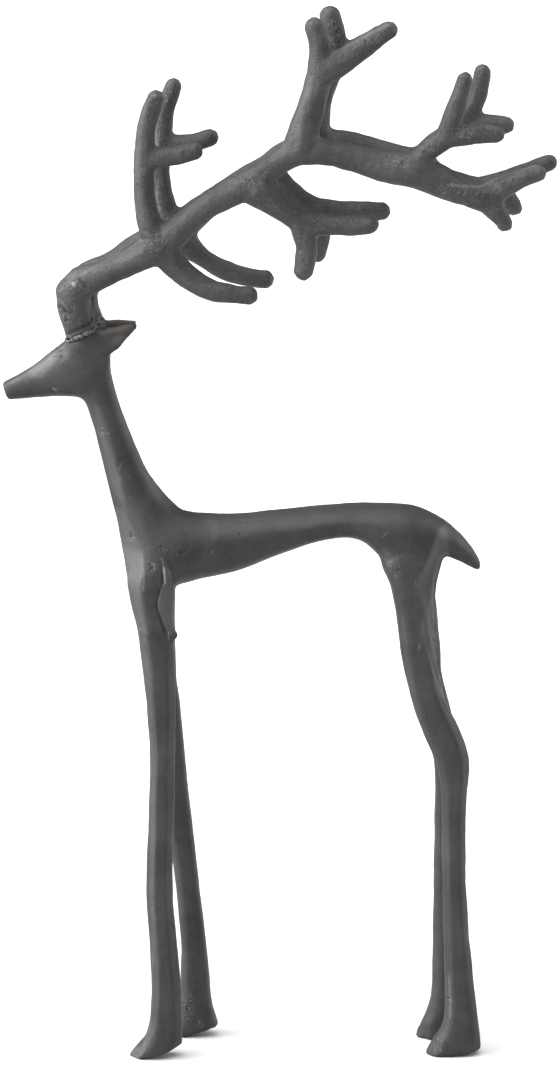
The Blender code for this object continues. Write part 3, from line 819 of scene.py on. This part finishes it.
# Where the body's small marks need a finer mesh, with how far round them
def fineSpots(skin, work):
    wanted = [(pixels, 3.4) for _, pixels, _, _ in work["strokes"]]
    wanted += [(pixels, 2.6) for _, pixels, _, _ in work["swells"]]
    wanted += [(path, 2.0) for path, *_ in work["lit"][1]]
    wanted += [([at], 0.8 + spread * 0.55) for at, spread, _, _ in work["pits"]]
    wanted += [([at], 1.5 * reach) for _, at, reach, *_ in work["pulls"]]
    return [(place, reach * mm) for pixels, reach in wanted for place, _ in skin.hits(pixels)]


def workBody():
    work = bodyWork
    piece = fineCopy("stag_body", "stagCasting", work["grain"])
    skin = Skin(piece)
    smoothBody(skin, work["smooth"])
    grindBody(skin, work)
    smoothBody(skin, work["smoothLast"])
    skin.turn()
    spots = fineSpots(skin, work)
    skin.write()
    refine(piece, spots, 2)
    skin = Skin(piece)
    pullOut(skin, work["pulls"])
    skin.turn()
    for seed, (size, height) in enumerate(work["unevenness"], 1):
        skin.unevenness(size, height, seed)
        skin.turn()
    for _, outline, soft, share, sink in work["flats"]:
        skin.flatten(outline, soft, share, sink)
    skin.turn()
    for _, outline, soft, height in work["swells"]:
        skin.swell(outline, soft, height)
    for _, pixels, width, height in work["strokes"]:
        skin.stroke(skin.hits(pixels), width, height)
    scatter(skin, work["pits"], random.Random(7), lambda dice: -dice.uniform(*work["pitDepth"]))
    markSkin(skin, work)
    dress(piece, "stag_body", patinaAndPaintedLight("bodyPatinaAndPaintedLight", bodyTones))
    return piece


def smoothBody(skin, outlines):
    for _, outline, soft, rounds, *flank in outlines:
        skin.turn()
        skin.relax(outline, soft, rounds, *flank)


def grindBody(skin, work):
    for side in (-1, 1):
        ahead, aside, behind = (-0.8, 0.6 * side, 0), (0, side, 0), (0.8, 0.6 * side, 0)
        x, y, z = skin.points.T
        flank = y * side > 0
        end, top = np.array(work["frontPart"]) * mm
        skin.grind((x < end) & (z < top) & flank, ahead, work["frontFlat"])
        end, top = np.array(work["frontLegPart"]) * mm
        frontLeg = (x < end) & (z < top) & flank
        skin.grind(frontLeg, behind, work["legBackFlat"])
        skin.grind(frontLeg, aside, work["legSideFlat"])
        end, low, top = np.array(work["neckPart"]) * mm
        skin.grind((x < end) & (z > low) & (z < top) & flank, (0.75, 0.66 * side, 0), work["neckBackFlat"])
        end, top = np.array(work["rearLegPart"]) * mm
        rearLeg = (x > end) & (z < top) & flank
        skin.grind(rearLeg, ahead, work["rearFrontFlat"])
        skin.grind(rearLeg, aside, work["legSideFlat"])
        rearLeg = (x > end) & (z < top) & flank  # again, because some points have moved
        skin.grind(rearLeg, behind, work["rearBackFlat"])


# The antler casting

antlerWork = {
    "grain": 0.87 * mm,
    # creases and ridges: pixels, width and height in millimetres
    "strokes": [
        ("elbowCrease", [(79, 279), (83, 283), (87, 287)], 0.45, -0.7),
        ("elbowSpot", [(73, 283), (74, 286)], 0.9, 0.45),
        ("elbowRidge", [(58, 302), (64, 304), (70, 312)], 0.8, 0.7),
        ("elbowFold", [(59, 307), (65, 311), (68, 316)], 0.8, -0.8),
        ("stemDimple", [(66, 319), (67, 321)], 0.9, -0.9),
        ("stemLump", [(64, 316), (65, 325)], 0.8, 0.35),
        ("stemSeam", [(92, 298), (91, 309), (92, 318)], 0.9, -0.8),
        ("beadCrease", [(68, 334), (74, 331), (84, 326), (92, 319), (98, 315)], 0.8, -0.9),
    ],
    # places drawn out: pixel, reach and move in millimetres
    "pulls": [
        ("elbowCorner", (60, 292), 3.0, (-1.1, 0, 0.1), 5),
        ("elbowFlat", (67, 279), 3.6, (1.1, 0, -0.9), 5),
    ],
    # painted highlights and painted shade in pixels: outlines with softness and strength, paths with width
    # and strength
    "lit": (
        [
            ([(74, 286), (92, 288), (95, 318), (78, 328), (72, 318), (76, 300)], 6.0, -0.01),  # stem
            ([(57, 290), (70, 284), (72, 300), (66, 312), (60, 305)], 4.0, 0.07),
            ([(62, 276), (80, 270), (88, 285), (60, 300)], 8.0, 0.06),
            ([(92, 285), (130, 268), (150, 262), (150, 271), (112, 288), (96, 297)], 6.0, -0.07),
            ([(145, 172), (155, 168), (154, 200), (158, 218), (148, 215), (144, 195)], 4.0, -0.12),  # forks
            ([(172, 232), (190, 222), (198, 232), (198, 255), (190, 264), (176, 252)], 8.0, -0.12),
            ([(414, 155), (432, 158), (436, 172), (420, 174), (412, 165)], 5.0, -0.12),
            ([(306, 100), (316, 98), (318, 132), (304, 138), (303, 120)], 4.0, -0.10),
            ([(250, 188), (268, 184), (262, 196), (250, 198)], 5.0, -0.08),
            ([(465, 195), (490, 192), (500, 205), (485, 212), (470, 205)], 6.0, -0.06),
            ([(140, 95), (148, 92), (144, 130), (141, 170), (143, 215), (138, 222), (134, 180), (135, 130)],
             5.0, 0.06),  # first tines
            ([(308, 75), (316, 80), (306, 110), (300, 150), (292, 150), (298, 115)], 5.0, 0.05),
            ([(328, 82), (338, 82), (332, 110), (331, 128), (323, 134), (320, 120)], 3.0, 0.07, 1),
        ],
        [
            ([(80, 279.5), (83, 283), (86, 286.5)], 0.7, -0.7),
            ([(73, 283), (74.5, 286)], 1.2, 0.7),
            ([(82, 274), (92, 268), (125, 249), (141, 240)], 1.5, 0.14),
            ([(71, 334), (78, 330), (86, 326), (93, 320)], 1.4, -0.9),
            ([(92, 300), (91.5, 310), (93, 318)], 1.2, -0.5),
            ([(62, 308), (67, 312)], 1.2, -0.4),
            ([(98, 306), (101, 312), (106, 318)], 0.9, 0.35, 1),
            ([(448, 185), (479, 187), (510, 172), (538, 164.5)], 1.1, 0.25),
            ([(321, 213.5), (345, 214), (372, 215), (378, 222)], 1.0, 0.22),
            ([(332, 54), (352, 43), (376, 31), (392, 22)], 1.4, 0.14),
            ([(158, 180), (157, 198), (160, 210)], 1.3, 0.25, 1),
            ([(156, 118), (155, 132), (157, 145)], 1.3, 0.25, 1),
        ],
    ),
    "warm": ([], []),
    "rough": (
        [
            (oval(150, 242, 14, 12), 5.0, 0.8),
            (oval(167, 213, 15, 6), 4.0, 0.8),
            (oval(243, 182, 16, 7), 4.0, 0.8),
            (oval(268, 204, 15, 8), 4.0, 0.8),
            (oval(390, 160, 21, 7), 4.0, 0.9),
            (oval(455, 190, 21, 6), 4.0, 0.9),
            (oval(473, 132, 27, 8), 4.0, 0.7),
            (oval(430, 145, 12, 14), 5.0, 0.5),
            (oval(363, 38, 26, 16), 6.0, 0.5),
            (oval(333, 38, 8, 24), 5.0, 0.7, 1),
            (oval(505, 175, 32, 9), 5.0, 0.6),
            (oval(485, 205, 22, 20), 6.0, 0.5),
            (oval(160, 195, 5, 18), 3.0, 0.8, 1),
            (oval(158, 130, 5, 18), 3.0, 0.8, 1),
            (oval(172, 92, 9, 12), 4.0, 0.6, 1),
            (oval(146, 110, 8, 18), 4.0, 0.5),
            (oval(75, 283, 15, 9), 5.0, 0.6),
            (oval(63, 312, 9, 12), 4.0, 0.6),
            (oval(310, 225, 16, 8), 5.0, 0.4),
            (oval(225, 287, 20, 6), 4.0, 0.4),
        ],
        [],
    ),
    # size and height of the skin's unevenness in millimetres
    "unevenness": [(16.0, 0.8), (6.0, 0.28)],
    # lumps and pits at the forks: pixel, spread in pixels, count, size range in millimetres
    "lumpHeights": (-0.5, -0.4, -0.3, 0.25, 0.35),
    "lumps": [
        ((150, 238), 12, 26, (0.6, 1.1)),
        ((168, 222), 9, 10, (0.5, 0.9)),
        ((262, 186), 14, 26, (0.6, 1.1)),
        ((238, 200), 9, 8, (0.5, 0.9)),
        ((64, 312), 7, 8, (0.5, 0.9)),
        ((395, 162), 14, 16, (0.6, 1.0)),
        ((440, 188), 16, 24, (0.5, 1.0)),
        ((470, 148), 13, 14, (0.5, 0.9)),
        ((495, 190), 12, 16, (0.5, 0.9)),
        ((350, 45), 12, 14, (0.5, 0.9)),
        ((375, 30), 9, 10, (0.5, 0.8)),
        ((340, 30), 9, 10, (0.5, 0.8)),
        ((160, 95), 12, 12, (0.5, 0.9)),
        ((185, 150), 12, 12, (0.5, 0.9)),
        ((300, 240), 12, 10, (0.5, 0.9)),
        ((345, 225), 14, 10, (0.5, 0.9)),
        ((235, 290), 14, 10, (0.5, 0.9)),
        ((90, 268), 12, 10, (0.5, 0.9)),
    ],
}


def workAntlers():
    work = antlerWork
    piece = fineCopy("antler_pair", "antlerCasting", work["grain"])
    skin = Skin(piece)
    for seed, (size, height) in enumerate(work["unevenness"], 3):
        skin.turn()
        skin.unevenness(size, height, seed)
    pullOut(skin, work["pulls"])
    for _, pixels, width, height in work["strokes"]:
        skin.stroke(skin.hits(pixels), width, height)
    scatter(skin, work["lumps"], random.Random(11), lambda dice: dice.choice(work["lumpHeights"]))
    markSkin(skin, work)
    dress(piece, "antler_pair", patinaAndPaintedLight("antlerPatinaAndPaintedLight", antlerTones))
    return piece


# The rough weld bead round the foot of the stem

bead = {
    "blob": 1.5,  # half thickness in millimetres
    "flatness": 0.8,
    "spacing": 1.35,
    "jitter": 0.3,  # share of the spacing
    "sizes": (0.6, 1.2),
    "frontLoss": 0.35,  # how much slighter the bead is in front
    "inward": 0.35,  # how far a blob sits in the seam, as a share of its size
    "drop": (-0.9, 0.1),
    "grain": 0.55 * mm,
    "unevenness": (1.8, 0.35),  # size and height in millimetres
    # painted highlight and painted shade on the bead: outlines with softness and strength
    "lit": [(oval(84, 328, 10, 7), 4.0, 0.05), (oval(68, 335, 8, 6), 4.0, -0.35)],
    # how the rim under the stem is found: the cut's normal, how high it reaches, how thin it is, directions
    "cutNormal": (-9.2, 0, 20.5),
    "rimHeight": 14 * mm,
    "rimSkin": 0.15 * mm,
    "rimPoints": 48,
    "rimWindow": 0.16,  # radians to each side
}


# The rim of the flat under the stem, in order
def stemRim():
    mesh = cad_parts["antler_pair"].data
    points = np.array([vertex.co[:] for vertex in mesh.vertices])
    slope = Vector(bead["cutNormal"]).normalized()
    foot = points[points[:, 2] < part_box("antler_pair")[0][2] + bead["rimHeight"]]
    heights = foot @ np.array(slope)
    rim = foot[heights < heights.min() + bead["rimSkin"]]
    middle = rim.mean(0)
    angles = np.arctan2(rim[:, 1] - middle[1], rim[:, 0] - middle[0])
    ring = []
    for i in range(bead["rimPoints"]):
        turn = -math.pi + 2 * math.pi * (i + 0.5) / bead["rimPoints"]
        gap = np.abs((angles - turn + math.pi) % (2 * math.pi) - math.pi)
        near = rim[gap < bead["rimWindow"]]
        if len(near):
            ring.append(near[np.argmax(np.linalg.norm(near - middle, axis=1))])
    return np.array(ring), middle


def workBead():
    ring, middle = stemRim()
    dice = random.Random(5)
    form = bmesh.new()
    closed = np.vstack([ring, ring[:1]])
    lengths = np.linalg.norm(np.diff(closed, axis=0), axis=1)
    along = np.concatenate([[0], np.cumsum(lengths)])
    count = int(along[-1] / (bead["spacing"] * mm))
    for i in range(count):
        at = along[-1] * (i + dice.uniform(-bead["jitter"], bead["jitter"])) / count % along[-1]
        place = np.array([np.interp(at, along, closed[:, k]) for k in range(3)])
        outward = Vector(place - middle).normalized()
        slight = 1 - bead["frontLoss"] * max(0, -outward.x)
        size = bead["blob"] * mm * dice.uniform(*bead["sizes"]) * slight
        blob = bmesh.ops.create_icosphere(form, subdivisions=2, radius=size)
        lift = Vector((0, 0, dice.uniform(*bead["drop"]) * mm))
        centre = Vector(place) - outward * size * bead["inward"] + lift
        for vertex in blob["verts"]:
            vertex.co = Vector((vertex.co.x, vertex.co.y, vertex.co.z * bead["flatness"])) + centre
    mesh = bpy.data.meshes.new("weldBead")
    form.to_mesh(mesh)
    form.free()
    piece = remeshed("weldBead", mesh, bead["grain"])
    skin = Skin(piece)
    skin.unevenness(*bead["unevenness"], 6)
    skin.turn()
    skin.markEdges(bead["grain"], 1)
    # paints the bead's painted highlight and painted shade
    skin.paint("lit", bead["lit"])
    dress(piece, None, patinaAndPaintedLight("beadMetal", beadTones))
    return piece


setCamera()
setStudio()
print("studio is set")
stag = workBody()
print("body casting:", len(stag.data.polygons), "faces")
antlers = workAntlers()
print("antler casting:", len(antlers.data.polygons), "faces")
weld = workBead()
print("weld bead:", len(weld.data.polygons), "faces")
